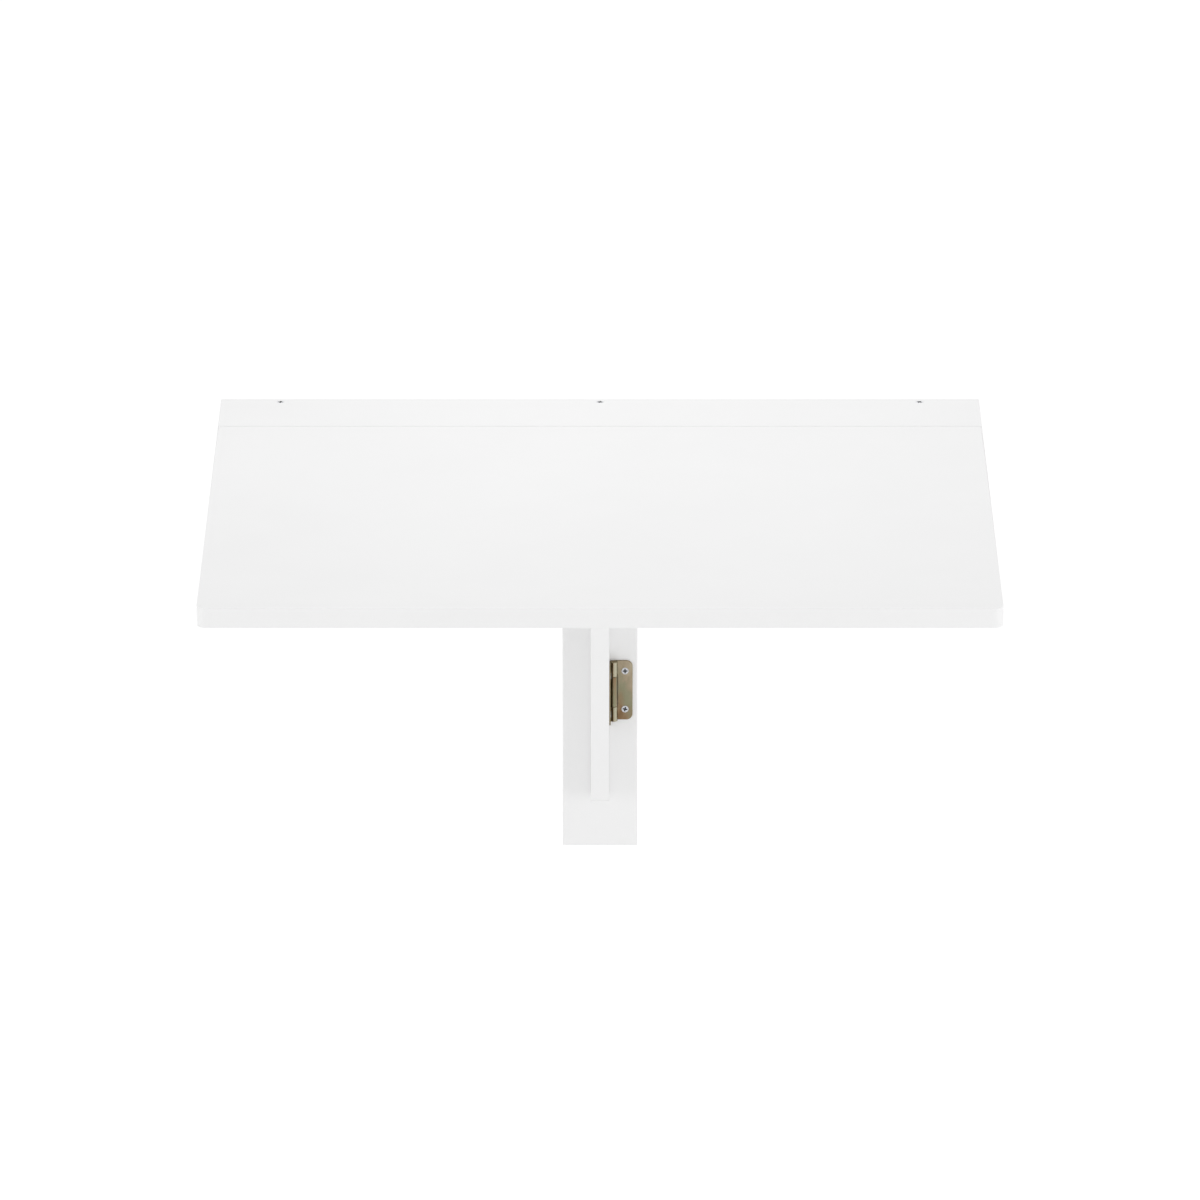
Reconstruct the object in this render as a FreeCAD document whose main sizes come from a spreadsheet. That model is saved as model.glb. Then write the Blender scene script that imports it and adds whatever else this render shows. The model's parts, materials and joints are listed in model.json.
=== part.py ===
import FreeCAD, Part
import os

import Sketcher
from FreeCAD import Placement, Rotation, Vector

# Wall mounted drop leaf table. Millimetres: +X to the right, +Y into the wall, +Z up.
# The wall is the plane y = 0, and the origin is the middle of the rail's back face.
# A narrow strip of the top stays on the wall. The leaf hangs on two hinges under the seam
# and is carried by a bracket that swings on two more hinges, to the right, flat to the post.

# Driving dimensions: alias, value, what it measures
SIZES = [
    ("table_width", 740, "top, left to right"),
    ("table_depth", 600, "wall to the leaf's front edge"),
    ("top_thickness", 19, "strip and leaf"),
    ("strip_depth", 82, "wall to the strip's front edge"),
    ("seam_gap", 0.8, "between the strip and the leaf"),
    ("leaf_corner_radius", 9, "leaf's front corners, seen from above"),
    ("edge_radius", 1.5, "eased edges of the boards"),
    ("frame_thickness", 18, "rail and post, out from the wall"),
    ("rail_height", 74, "rail, top to bottom"),
    ("post_width", 74, "post, left to right"),
    ("post_length", 368, "rail's bottom edge to the post's foot"),
    ("bracket_thickness", 18, "bracket, left to right"),
    ("bracket_reach", 273, "bracket's back edge to its nose"),
    ("bracket_height", 386, "bracket, top to bottom"),
    ("bracket_nose", 40, "upright front edge below the leaf"),
    ("bracket_toe", 26, "flat foot of the bracket, before rounding"),
    ("bracket_tip_radius", 5, "top corner of the nose"),
    ("bracket_nose_radius", 30, "where the nose runs into the slope"),
    ("bracket_toe_radius", 18, "where the slope runs into the foot"),
    ("bracket_gap", 0.4, "bracket to the leaf above and to the post behind"),
    ("hinge_height", 62, "hinge, along its pin"),
    ("hinge_wing", 18.7, "pin axis to a plate's outer edge"),
    ("hinge_sheet", 1.5, "sheet steel of the plates and knuckles"),
    ("hinge_corner_radius", 6, "plates' outer corners"),
    ("middle_knuckle", 31, "length of the moving plate's knuckle"),
    ("running_gap", 0.3, "knuckle to knuckle, and knuckle to board"),
    ("pin_diameter", 4.9, "hinge pin"),
    ("pin_clearance", 0.05, "pin in its knuckles, on the radius"),
    ("pin_end", 0.5, "pin past its knuckles, at each end"),
    ("hinge_hole_offset", 11.35, "pin axis to a plate's screw line"),
    ("hinge_hole_pitch", 40, "screw to screw on a plate"),
    ("hinge_screw_head", 7, "diameter over the countersunk head"),
    ("hinge_screw_shank", 3.5, "diameter"),
    ("hinge_screw_length", 15, "head to point"),
    ("leaf_hinge_inset", 50, "top's end to the middle of the nearer leaf hinge"),
    ("bracket_hinge_inset", 109.5, "bracket's end to the middle of the nearer hinge"),
    ("strip_screw_head", 7.7, "diameter over the countersunk head"),
    ("strip_screw_shank", 4, "diameter"),
    ("strip_screw_length", 45, "head to point"),
    ("strip_screw_inset", 58.5, "strip's end to its nearer screw"),
    ("screw_land", 0.3, "upright rim of a countersunk head"),
    ("screw_clearance", 0.1, "screw in its hole, on the radius"),
    ("dowel_diameter", 8, "dowels between the rail and the post"),
    ("dowel_length", 40, "half in the rail, half in the post"),
    ("dowel_chamfer", 1, "at both ends"),
    ("dowel_inset", 21, "post's side to the nearer dowel"),
    ("dowel_clearance", 0.05, "dowel in its holes, on the radius"),
    ("wall_hole_diameter", 5.5, "holes for the wall screws"),
    ("wall_hole_head", 11, "countersink of the wall screws' holes"),
    ("rail_hole_inset", 110, "rail's end to its nearer wall hole"),
    ("rail_hole_beside_post", 53, "post's side to the rail's inner wall hole"),
    ("post_hole_inset", 15, "post's side to its wall hole"),
    ("post_hole_drop", 113, "post's top to its wall holes"),
]

# Places worked out from the driving dimensions
UNDERSIDE = "(sizes.rail_height / 2)"
TOP = f"({UNDERSIDE} + sizes.top_thickness)"
LEAF_BACK = "(sizes.strip_depth + sizes.seam_gap)"
SEAM_MIDDLE = "(sizes.strip_depth + sizes.seam_gap / 2)"
FRAME_MIDDLE = "(sizes.frame_thickness / 2)"
STRIP_SCREW_PITCH = "(sizes.table_width / 2 - sizes.strip_screw_inset)"
DOWEL_PITCH = "(sizes.post_width - 2 * sizes.dowel_inset)"
POST_TOP = "(-sizes.rail_height / 2)"
BRACKET_BACK = "(sizes.frame_thickness + sizes.bracket_gap)"
BRACKET_TOP = f"({UNDERSIDE} - sizes.bracket_gap)"
BORE = "(sizes.pin_diameter / 2 + sizes.pin_clearance)"
KNUCKLE = f"({BORE} + sizes.hinge_sheet)"
STANDOFF = f"({KNUCKLE} + sizes.running_gap)"
PLATE_FACE = f"({STANDOFF} - sizes.hinge_sheet)"

# A cut runs past the faces that it goes through by this much.
OVERRUN = 1
# Points closer than this are at the same place.
SAME_PLACE = 1e-4

document = FreeCAD.newDocument("drop_leaf_table")


def fill_sheet():
    sheet = document.addObject("Spreadsheet::Sheet", "sizes")
    for row, (alias, value, meaning) in enumerate(SIZES, start=1):
        sheet.set(f"A{row}", alias)
        sheet.set(f"B{row}", str(value))
        sheet.set(f"C{row}", meaning)
        sheet.setAlias(f"B{row}", alias)
    document.recompute()
    return sheet


sheet = fill_sheet()


def number(expression):
    return float(sheet.evalExpression(expression))


class Seat:
    """A place with its own directions: an origin of three expressions, and axes along the table's."""

    def __init__(self, origin, x, y):
        self.origin = origin
        self.axes = [Vector(*x), Vector(*y), Vector(*x).cross(Vector(*y))]

    def rotation(self):
        return Rotation(*self.axes, "ZXY")

    def point(self, amounts):
        """Where a point of this seat lies on the table, as three expressions."""
        place = []
        for row in range(3):
            terms = [self.origin[row]]
            for amount, axis in zip(amounts, self.axes):
                if axis[row]:
                    terms.append(f"{'+' if axis[row] > 0 else '-'} ({amount})")
            place.append(" ".join(terms))
        return place

    def carried(self, inner):
        """A seat that is given in this one's directions, turned to the table's."""
        x, y = (self.rotation().multVec(axis) for axis in inner.axes[:2])
        return Seat(self.point(inner.origin), tuple(map(round, x)), tuple(map(round, y)))


LEVEL = Seat(("0", "0", "0"), (1, 0, 0), (0, 1, 0))


def new_body(label, seat=LEVEL):
    body = document.addObject("PartDesign::Body", label)
    body.Label = label
    body.Placement = Placement(Vector(), seat.rotation())
    for axis, expression in zip("xyz", seat.origin):
        body.setExpression(f"Placement.Base.{axis}", expression)
    return body


def new_sketch(body, name, seat):
    plane = next(f for f in body.Origin.OriginFeatures if f.Role == "XY_Plane")
    sketch = body.newObject("Sketcher::SketchObject", f"{name}_sketch")
    sketch.AttachmentSupport = [(plane, "")]
    sketch.MapMode = "FlatFace"
    sketch.AttachmentOffset = Placement(Vector(), seat.rotation())
    for axis, expression in zip("xyz", seat.origin):
        sketch.setExpression(f"AttachmentOffset.Base.{axis}", expression)
    return sketch


def draw_outline(sketch, corners):
    """A closed line through corners, each of them two expressions."""
    count = len(corners)
    places = [Vector(number(x), number(y), 0) for x, y in corners]
    for i in range(count):
        sketch.addGeometry(Part.LineSegment(places[i], places[(i + 1) % count]), False)
    for i in range(count):
        sketch.addConstraint(Sketcher.Constraint("Coincident", i, 2, (i + 1) % count, 1))
    for i, (corner, place) in enumerate(zip(corners, places)):
        for kind, line, expression, value in (
            ("DistanceX", -2, corner[0], place.x),
            ("DistanceY", -1, corner[1], place.y),
        ):
            if expression == "0":
                sketch.addConstraint(Sketcher.Constraint("PointOnObject", i, 1, line))
            else:
                held = sketch.addConstraint(Sketcher.Constraint(kind, -1, 1, i, 1, value))
                sketch.setExpression(f"Constraints[{held}]", expression)


def pad(body, name, seat, corners, length):
    sketch = new_sketch(body, name, seat)
    draw_outline(sketch, corners)
    feature = body.newObject("PartDesign::Pad", name)
    feature.Profile = sketch
    feature.setExpression("Length", length)
    document.recompute()


def turn(body, name, seat, profile, cut=False, pitch=None, count=1):
    """Turn a profile about the seat's y, to add or to cut, and repeat it along the seat's z."""
    sketch = new_sketch(body, name, seat)
    draw_outline(sketch, profile)
    before = 0 if body.Tip is None else body.Tip.Shape.Volume
    kind = "PartDesign::Groove" if cut else "PartDesign::Revolution"
    feature = body.newObject(kind, name)
    feature.Profile = sketch
    feature.ReferenceAxis = (sketch, ["V_Axis"])
    feature.Angle = 360
    document.recompute()
    if count > 1:
        pattern = body.newObject("PartDesign::LinearPattern", f"{name}_row")
        pattern.Originals = [feature]
        pattern.Direction = (sketch, ["N_Axis"])
        pattern.setExpression("Length", f"{pitch} * {count - 1}")
        pattern.Occurrences = count
        body.Tip = pattern
        document.recompute()
    after = body.Tip.Shape.Volume
    if (after >= before) if cut else (after <= before):
        raise RuntimeError(f"{name} changes nothing on {body.Label}")


def round_edges(body, name, radius, chosen):
    """Fillet the edges of the body for which chosen is true."""
    base = body.Tip
    names = [f"Edge{i}" for i, edge in enumerate(base.Shape.Edges, start=1) if chosen(edge)]
    if not names:
        raise RuntimeError(f"{name} finds no edge on {body.Label}")
    fillet = body.newObject("PartDesign::Fillet", name)
    fillet.Base = (base, names)
    fillet.setExpression("Radius", radius)
    document.recompute()


def lies_at(edge, axis, expression):
    """Whether a whole edge lies at one value of x, y or z."""
    middle = edge.valueAt((edge.FirstParameter + edge.LastParameter) / 2)
    points = [vertex.Point for vertex in edge.Vertexes] + [middle]
    wanted = number(expression)
    return all(abs(getattr(point, axis) - wanted) < SAME_PLACE for point in points)


def line_along_x(y, z):
    """A choice of the edges along x at one y and z."""
    return lambda edge: lies_at(edge, "y", y) and lies_at(edge, "z", z)


def board(label, low, size):
    """A plain board, from its low corner and its size, each three expressions."""
    body = new_body(label)
    corners = [("0", "0"), (size[0], "0"), (size[0], size[1]), ("0", size[1])]
    pad(body, f"{label}_blank", Seat(low, (1, 0, 0), (0, 1, 0)), corners, size[2])
    return body


def screw_profile(kind, clearance="0"):
    """Half of a countersunk screw, head up, with its head's top at 0. A clearance makes it a hole's."""
    head = f"sizes.{kind}_head / 2 + {clearance}"
    shank = f"sizes.{kind}_shank / 2 + {clearance}"
    neck = f"-sizes.screw_land - (sizes.{kind}_head - sizes.{kind}_shank) / 2"
    length = f"-sizes.{kind}_length"
    return [
        ("0", clearance),
        (head, clearance),
        (head, "-sizes.screw_land"),
        (shank, neck),
        (shank, f"{length} + sizes.{kind}_shank"),
        ("0", f"{length} - {clearance}"),
    ]


def rod_profile(radius, half_length, chamfer):
    """Half of a rod with chamfered ends, about its middle."""
    return [
        ("0", f"-({half_length})"),
        (f"{radius} - {chamfer}", f"-({half_length})"),
        (radius, f"-({half_length}) + {chamfer}"),
        (radius, f"{half_length} - {chamfer}"),
        (f"{radius} - {chamfer}", half_length),
        ("0", half_length),
    ]


def box_profile(inner, outer, low, high):
    """A rectangle beside the axis, for a tube or a plain hole."""
    return [(inner, low), (outer, low), (outer, high), (inner, high)]


def drill_wall_holes(body, name, pitch, height):
    """A pair of countersunk holes through the rail or the post, for screws into the wall."""
    radius = "sizes.wall_hole_diameter / 2"
    head = "sizes.wall_hole_head / 2"
    profile = [
        ("0", f"{OVERRUN}"),
        (head, f"{OVERRUN}"),
        (head, "0"),
        (radius, f"{radius} - {head}"),
        (radius, f"-sizes.frame_thickness - {OVERRUN}"),
        ("0", f"-sizes.frame_thickness - {OVERRUN}"),
    ]
    seat = Seat((f"-{pitch} / 2", "-sizes.frame_thickness", height), (0, 0, 1), (0, -1, 0))
    turn(body, name, seat, profile, cut=True, pitch=pitch, count=2)


# Screws through the strip into the rail's top edge
STRIP_SCREWS = Seat((f"-{STRIP_SCREW_PITCH}", f"-{FRAME_MIDDLE}", TOP), (0, 1, 0), (0, 0, 1))


def drill_strip_screws(body):
    profile = screw_profile("strip_screw", "sizes.screw_clearance")
    turn(body, "strip_screw_holes", STRIP_SCREWS, profile, True, STRIP_SCREW_PITCH, 3)


# Dowels across the joint of the rail and the post
DOWELS = Seat((f"-{DOWEL_PITCH} / 2", f"-{FRAME_MIDDLE}", POST_TOP), (0, 1, 0), (0, 0, 1))


def drill_dowels(body):
    radius = "sizes.dowel_diameter / 2 + sizes.dowel_clearance"
    half = "(sizes.dowel_length / 2 + sizes.dowel_clearance)"
    profile = box_profile("0", radius, f"-{half}", half)
    turn(body, "dowel_holes", DOWELS, profile, True, DOWEL_PITCH, 2)


def make_strip():
    size = ("sizes.table_width", "sizes.strip_depth", "sizes.top_thickness")
    body = board("fixed_top_strip", ("-sizes.table_width / 2", "-sizes.strip_depth", UNDERSIDE), size)

    def at_an_end(edge):
        return any(lies_at(edge, "x", f"{side}sizes.table_width / 2") for side in ("", "-")) and (
            lies_at(edge, "z", TOP) or lies_at(edge, "z", UNDERSIDE)
        )

    round_edges(body, "strip_ends", "sizes.edge_radius", at_an_end)
    drill_strip_screws(body)
    return body


def make_leaf():
    size = ("sizes.table_width", f"sizes.table_depth - {LEAF_BACK}", "sizes.top_thickness")
    body = board("drop_leaf", ("-sizes.table_width / 2", "-sizes.table_depth", UNDERSIDE), size)

    def front_corner(edge):
        upright = not (lies_at(edge, "z", TOP) or lies_at(edge, "z", UNDERSIDE))
        return upright and lies_at(edge, "y", "-sizes.table_depth")

    def rim(edge):
        level = lies_at(edge, "z", TOP) or lies_at(edge, "z", UNDERSIDE)
        return level and not lies_at(edge, "y", f"-{LEAF_BACK}")

    round_edges(body, "leaf_front_corners", "sizes.leaf_corner_radius", front_corner)
    round_edges(body, "leaf_rim", "sizes.edge_radius", rim)
    return body


def make_rail():
    size = ("sizes.table_width", "sizes.frame_thickness", "sizes.rail_height")
    low = ("-sizes.table_width / 2", "-sizes.frame_thickness", POST_TOP)
    body = board("wall_rail", low, size)

    def front_rim(edge):
        return lies_at(edge, "y", "-sizes.frame_thickness") and not lies_at(edge, "z", UNDERSIDE)

    round_edges(body, "rail_front_rim", "sizes.edge_radius", front_rim)
    drill_strip_screws(body)
    drill_dowels(body)
    outer = "(sizes.table_width - 2 * sizes.rail_hole_inset)"
    inner = "(sizes.post_width + 2 * sizes.rail_hole_beside_post)"
    drill_wall_holes(body, "rail_outer_wall_holes", outer, "0")
    drill_wall_holes(body, "rail_inner_wall_holes", inner, "0")
    return body


def make_post():
    size = ("sizes.post_width", "sizes.frame_thickness", "sizes.post_length")
    low = ("-sizes.post_width / 2", "-sizes.frame_thickness", f"{POST_TOP} - sizes.post_length")
    body = board("wall_post", low, size)

    def front_rim(edge):
        return lies_at(edge, "y", "-sizes.frame_thickness") and not lies_at(edge, "z", POST_TOP)

    round_edges(body, "post_front_rim", "sizes.edge_radius", front_rim)
    drill_dowels(body)
    pitch = "(sizes.post_width - 2 * sizes.post_hole_inset)"
    drill_wall_holes(body, "post_wall_holes", pitch, f"{POST_TOP} - sizes.post_hole_drop")
    return body


def make_bracket():
    """A triangular board on edge: level top, upright nose, straight slope and a rounded toe."""
    body = new_body("swing_bracket")
    half = "sizes.bracket_thickness / 2"
    seat = Seat((half, f"-{BRACKET_BACK}", BRACKET_TOP), (0, -1, 0), (0, 0, 1))
    corners = [
        ("0", "0"),
        ("sizes.bracket_reach", "0"),
        ("sizes.bracket_reach", "-sizes.bracket_nose"),
        ("sizes.bracket_toe", "-sizes.bracket_height"),
        ("0", "-sizes.bracket_height"),
    ]
    pad(body, "bracket_blank", seat, corners, "sizes.bracket_thickness")
    for name, (out, up) in (("tip", corners[1]), ("nose", corners[2]), ("toe", corners[3])):
        corner = line_along_x(f"-{BRACKET_BACK} - {out}", f"{BRACKET_TOP} + {up}")
        round_edges(body, f"bracket_{name}", f"sizes.bracket_{name}_radius", corner)

    def rim(edge):
        on_a_side = lies_at(edge, "x", half) or lies_at(edge, "x", f"-{half}")
        return on_a_side and not lies_at(edge, "y", f"-{BRACKET_BACK}")

    round_edges(body, "bracket_rim", "sizes.edge_radius", rim)
    return body


def make_strip_screws():
    body = new_body("strip_screws")
    profile = screw_profile("strip_screw")
    turn(body, "strip_screw", STRIP_SCREWS, profile, pitch=STRIP_SCREW_PITCH, count=3)
    return body


def make_dowels():
    body = new_body("post_dowels")
    profile = rod_profile("sizes.dowel_diameter / 2", "sizes.dowel_length / 2", "sizes.dowel_chamfer")
    turn(body, "post_dowel", DOWELS, profile, pitch=DOWEL_PITCH, count=2)
    return body


# In a hinge plate's own directions the pin lies along z, the wing reaches out along x, and y points
# from the board that it is screwed to towards the pin.
PLATE_SCREWS = Seat(
    ("sizes.hinge_hole_offset", f"-{PLATE_FACE}", "-sizes.hinge_hole_pitch / 2"), (1, 0, 0), (0, 1, 0)
)
ALONG_PIN = Seat(("0", "0", "0"), (1, 0, 0), (0, 0, 1))


def make_plate(label, seat, carries_middle):
    """One wing of a butt hinge with its knuckles: the middle one, or the two outer ones."""
    body = new_body(label, seat)
    end = "sizes.hinge_height / 2"
    middle = "sizes.middle_knuckle / 2"
    step = middle if carries_middle else f"({middle} + sizes.running_gap)"
    at_middle, at_ends = ("0", STANDOFF) if carries_middle else (STANDOFF, "0")
    wing = "sizes.hinge_wing"
    corners = [
        (at_ends, f"-{end}"),
        (wing, f"-{end}"),
        (wing, end),
        (at_ends, end),
        (at_ends, step),
        (at_middle, step),
        (at_middle, f"-{step}"),
        (at_ends, f"-{step}"),
    ]
    face = Seat(("0", f"-{PLATE_FACE}", "0"), (1, 0, 0), (0, 0, 1))
    pad(body, f"{label}_wing", face, corners, "sizes.hinge_sheet")

    def outer_corner(edge):
        upright = any(lies_at(edge, "z", f"{side}{end}") for side in ("", "-"))
        return upright and lies_at(edge, "x", wing)

    round_edges(body, f"{label}_corners", "sizes.hinge_corner_radius", outer_corner)
    spans = [(f"-{step}", step)] if carries_middle else [(f"-{end}", f"-{step}"), (step, end)]
    for part, (low, high) in enumerate(spans, start=1):
        turn(body, f"{label}_knuckle_{part}", ALONG_PIN, box_profile(BORE, KNUCKLE, low, high))
    profile = screw_profile("hinge_screw", "sizes.screw_clearance")
    turn(body, f"{label}_holes", PLATE_SCREWS, profile, True, "sizes.hinge_hole_pitch", 2)
    return body


def make_pin(label, seat):
    body = new_body(label, seat)
    half = "(sizes.hinge_height / 2 + sizes.pin_end)"
    turn(body, f"{label}_rod", ALONG_PIN, rod_profile("sizes.pin_diameter / 2", half, "sizes.pin_end"))
    return body


def make_plate_screws(label, seat):
    body = new_body(label, seat)
    profile = screw_profile("hinge_screw")
    turn(body, f"{label}_pair", PLATE_SCREWS, profile, pitch="sizes.hinge_hole_pitch", count=2)
    return body


def make_hinge(name, pin, fixed, moving):
    """A butt hinge. fixed and moving each give a board's short name, its body and its plate's x and y."""
    made = []
    for carries_middle, (short, timber, x, y) in enumerate((fixed, moving)):
        seat = Seat(pin, x, y)
        made.append(make_plate(f"{name}_{short}_plate", seat, bool(carries_middle)))
        made.append(make_plate_screws(f"{name}_{short}_screws", seat))
        profile = screw_profile("hinge_screw", "sizes.screw_clearance")
        holes = seat.carried(PLATE_SCREWS)
        turn(timber, f"{name}_{short}_holes", holes, profile, True, "sizes.hinge_hole_pitch", 2)
    made.append(make_pin(f"{name}_pin", Seat(pin, fixed[2], fixed[3])))
    return made


def make_leaf_hinges(strip, leaf):
    made = []
    across = "(sizes.table_width / 2 - sizes.leaf_hinge_inset)"
    for side, sign in (("left", "-"), ("right", "")):
        pin = (f"{sign}{across}", f"-{SEAM_MIDDLE}", f"{UNDERSIDE} - {STANDOFF}")
        fixed = ("strip", strip, (0, 1, 0), (0, 0, -1))
        moving = ("leaf", leaf, (0, -1, 0), (0, 0, -1))
        made += make_hinge(f"leaf_hinge_{side}", pin, fixed, moving)
    return made


def make_bracket_hinges(post, bracket):
    made = []
    upper = f"{BRACKET_TOP} - sizes.bracket_hinge_inset"
    lower = f"{BRACKET_TOP} - sizes.bracket_height + sizes.bracket_hinge_inset"
    for place, height in (("upper", upper), ("lower", lower)):
        across = f"sizes.bracket_thickness / 2 + {STANDOFF}"
        pin = (across, f"-sizes.frame_thickness - {STANDOFF}", height)
        fixed = ("post", post, (1, 0, 0), (0, -1, 0))
        moving = ("bracket", bracket, (0, -1, 0), (1, 0, 0))
        made += make_hinge(f"bracket_hinge_{place}", pin, fixed, moving)
    return made


def check_document():
    for thing in document.Objects:
        if "Invalid" in thing.State or "Error" in thing.State:
            raise RuntimeError(f"{thing.Label} failed: {thing.State}")


def write_parts(bodies):
    for body in bodies:
        if body.Shape.isNull() or not body.Shape.isValid() or not body.Shape.Solids:
            raise RuntimeError(f"{body.Label} has no valid solid")
    os.makedirs("parts", exist_ok=True)
    for body in bodies:
        body.Shape.exportStep(f"parts/{body.Label}.step")
        print(f"{body.Label}: {len(body.Shape.Solids)} solid(s), {body.Shape.Volume:.1f} mm3")


strip = make_strip()
leaf = make_leaf()
rail = make_rail()
post = make_post()
bracket = make_bracket()
table = [strip, leaf, rail, post, bracket, make_strip_screws(), make_dowels()]
table += make_leaf_hinges(strip, leaf)
table += make_bracket_hinges(post, bracket)
document.recompute()
check_document()
write_parts(table)
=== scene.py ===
"""Wall mounted drop leaf table: lacquered boards, rolled hinges, cross-recess screws and a pale stage."""

import json
import math
from collections import namedtuple

import bmesh
import bpy
from bpy.props import FloatProperty, FloatVectorProperty, PointerProperty
from bpy.types import Operator, Panel, PropertyGroup
from mathutils import Matrix, Vector


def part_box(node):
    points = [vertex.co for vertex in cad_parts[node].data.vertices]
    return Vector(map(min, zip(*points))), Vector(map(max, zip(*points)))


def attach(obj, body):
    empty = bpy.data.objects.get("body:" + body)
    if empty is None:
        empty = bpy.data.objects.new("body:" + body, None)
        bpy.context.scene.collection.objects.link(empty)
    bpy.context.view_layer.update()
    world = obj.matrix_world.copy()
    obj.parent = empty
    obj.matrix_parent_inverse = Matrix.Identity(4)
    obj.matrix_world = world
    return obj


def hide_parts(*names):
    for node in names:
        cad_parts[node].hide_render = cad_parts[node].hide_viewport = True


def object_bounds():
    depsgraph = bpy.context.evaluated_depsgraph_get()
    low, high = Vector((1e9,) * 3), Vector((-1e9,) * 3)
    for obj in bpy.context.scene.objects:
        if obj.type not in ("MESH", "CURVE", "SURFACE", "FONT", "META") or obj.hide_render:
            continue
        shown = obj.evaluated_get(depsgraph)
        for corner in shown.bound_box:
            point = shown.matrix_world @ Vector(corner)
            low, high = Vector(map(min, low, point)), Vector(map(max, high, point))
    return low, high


bl_info = {
    "name": "Wall drop leaf table",
    "version": (1, 0, 0),
    "blender": (4, 5, 0),
    "location": "View3D > Sidebar > Table",
    "description": "Boards, hinges, screws and stage of a wall mounted drop leaf table",
    "category": "Object",
}

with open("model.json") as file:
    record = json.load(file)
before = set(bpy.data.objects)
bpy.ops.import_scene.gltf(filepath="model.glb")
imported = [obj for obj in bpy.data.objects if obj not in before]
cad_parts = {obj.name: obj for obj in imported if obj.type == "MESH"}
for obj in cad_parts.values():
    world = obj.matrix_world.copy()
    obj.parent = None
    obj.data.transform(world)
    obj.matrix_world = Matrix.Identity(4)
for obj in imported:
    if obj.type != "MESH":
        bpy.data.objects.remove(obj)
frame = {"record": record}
CAD_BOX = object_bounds()
MM = 0.001

# Each plate of a hinge: the short name of its board, its body, and where its own x (out along the wing) and
# y (from the board towards the pin) point. The fixed plate comes first, the moving one second.
Plate = namedtuple("Plate", "board body x y")
LEAF_PLATES = (
    Plate("strip", "wall_frame", (0, 1, 0), (0, 0, -1)),
    Plate("leaf", "leaf", (0, -1, 0), (0, 0, -1)),
)
BRACKET_PLATES = (
    Plate("post", "wall_frame", (1, 0, 0), (0, -1, 0)),
    Plate("bracket", "bracket", (0, -1, 0), (1, 0, 0)),
)
HINGES = {
    "leaf_hinge_left": LEAF_PLATES,
    "leaf_hinge_right": LEAF_PLATES,
    "bracket_hinge_upper": BRACKET_PLATES,
    "bracket_hinge_lower": BRACKET_PLATES,
}

# A cut runs past the face that it goes through by this much.
OVERRUN = 1 * MM
# Points nearer than this are the same point.
SAME = 0.001 * MM
# Faces that meet at more than this keep a hard edge between them.
SHARP = math.radians(32)
# An eased edge is this many facets from face to face, and this profile makes it an arc.
EDGE_STEPS = 5
ARC = 0.5
# The rounding of a sheared edge is this many facets.
SHEAR_STEPS = 3
# A rounded corner of an outline is this many facets.
CORNER_STEPS = 14
# Facets round a turned piece
TURN_STEPS = 48
# How far the sheet of a knuckle is rolled round its pin
ROLL = math.radians(282)
# Facets along that roll, and along the small set of the sheet before it
ROLL_STEPS = 36
SET_STEPS = 6
# Each hinge plate has a film of its own, by a number that its mesh carries under this name. The numbers are
# in the order of the hinges, fixed plate first.
FILM_SEED = "film_seed"
FILM_SEEDS = (1, 2, 3, 4, 5, 6, 37, 56)
# Painted shade in lines beside a knuckle: how far from the pin, out along the wing, and what that adds to
# the film's place on its ramp of colours, which is darkest at 0
SHADED_CREASES = ((3.6 * MM, -0.2), (-1.1 * MM, -0.55))
# How much of the film's colour the painted highlight on the outer knuckles covers, at most
KNUCKLE_HIGHLIGHT = 0.9
# A face of the stamped sheet is flat, and no sheared edge, if its normal rises by more than this.
FLAT = 0.99
# Points this near to a line of the roll, in m, lie on it.
ON_LINE = 1e-7
# The pins' domed ends: shares of the pin's radius, and how far each lies below the end
PIN_DOME = ((0, 0), (0.45, 0.03 * MM), (0.8, 0.16 * MM), (1, 0.5 * MM))
# Every screw's cross stands at an angle of its own, this much on from the screw before.
SCREW_TURN = math.radians(168.8)
# The cross recess at its mouth and at its floor: height, reach and half width of an arm, as shares of the
# head's diameter
CROSS = ((0.1, 0.4, 0.11), (-0.26, 0.17, 0.06))
# A screw's core as a share of its thread, half of the ridge's width as a share of the pitch, and the rows
# of points in a turn of the thread
THREAD_CORE = 0.66
THREAD_RIDGE = 0.3
THREAD_ROWS = 8
# Softened rim of a screw's head
HEAD_RIM = 0.12 * MM
# The dowels' chamfered ends and their flutes
DOWEL_CHAMFER = 1 * MM
FLUTES = 12
FLUTE_DEPTH = 0.2 * MM
# Each lamp: its name, the setting of its watts, its place from the middle of the top's back edge, and its
# side, in m
LAMPS = (
    ("top_softbox", "top_lamp", (0, 0, 1.0), 0.8),
    ("left_softbox", "left_lamp", (-3, -2.2, -0.1), 1.6),
    ("right_softbox", "right_lamp", (3, -2.2, -0.1), 1.6),
)
# What the lamps point at, from the same middle
LAMP_AIM = (0, -0.15, -0.15)
# Facets round the floor, and how far the camera sees, in m
FLOOR_STEPS = 96
SIGHT = 100


def linear(code):
    """An sRGB hex colour as linear red, green, blue and alpha."""
    channels = [int(code[i : i + 2], 16) / 255 for i in (1, 3, 5)]
    return [c / 12.92 if c <= 0.04045 else ((c + 0.055) / 1.055) ** 2.4 for c in channels] + [1.0]


def length(name, millimetres, description):
    """A length setting, given in mm."""
    return FloatProperty(
        name=name, description=description, default=millimetres * MM, unit="LENGTH", precision=4
    )


def colour(name, code, description):
    """A colour setting, given as an sRGB hex code."""
    return FloatVectorProperty(
        name=name, description=description, default=linear(code), size=4, subtype="COLOR", min=0, max=1
    )


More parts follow.
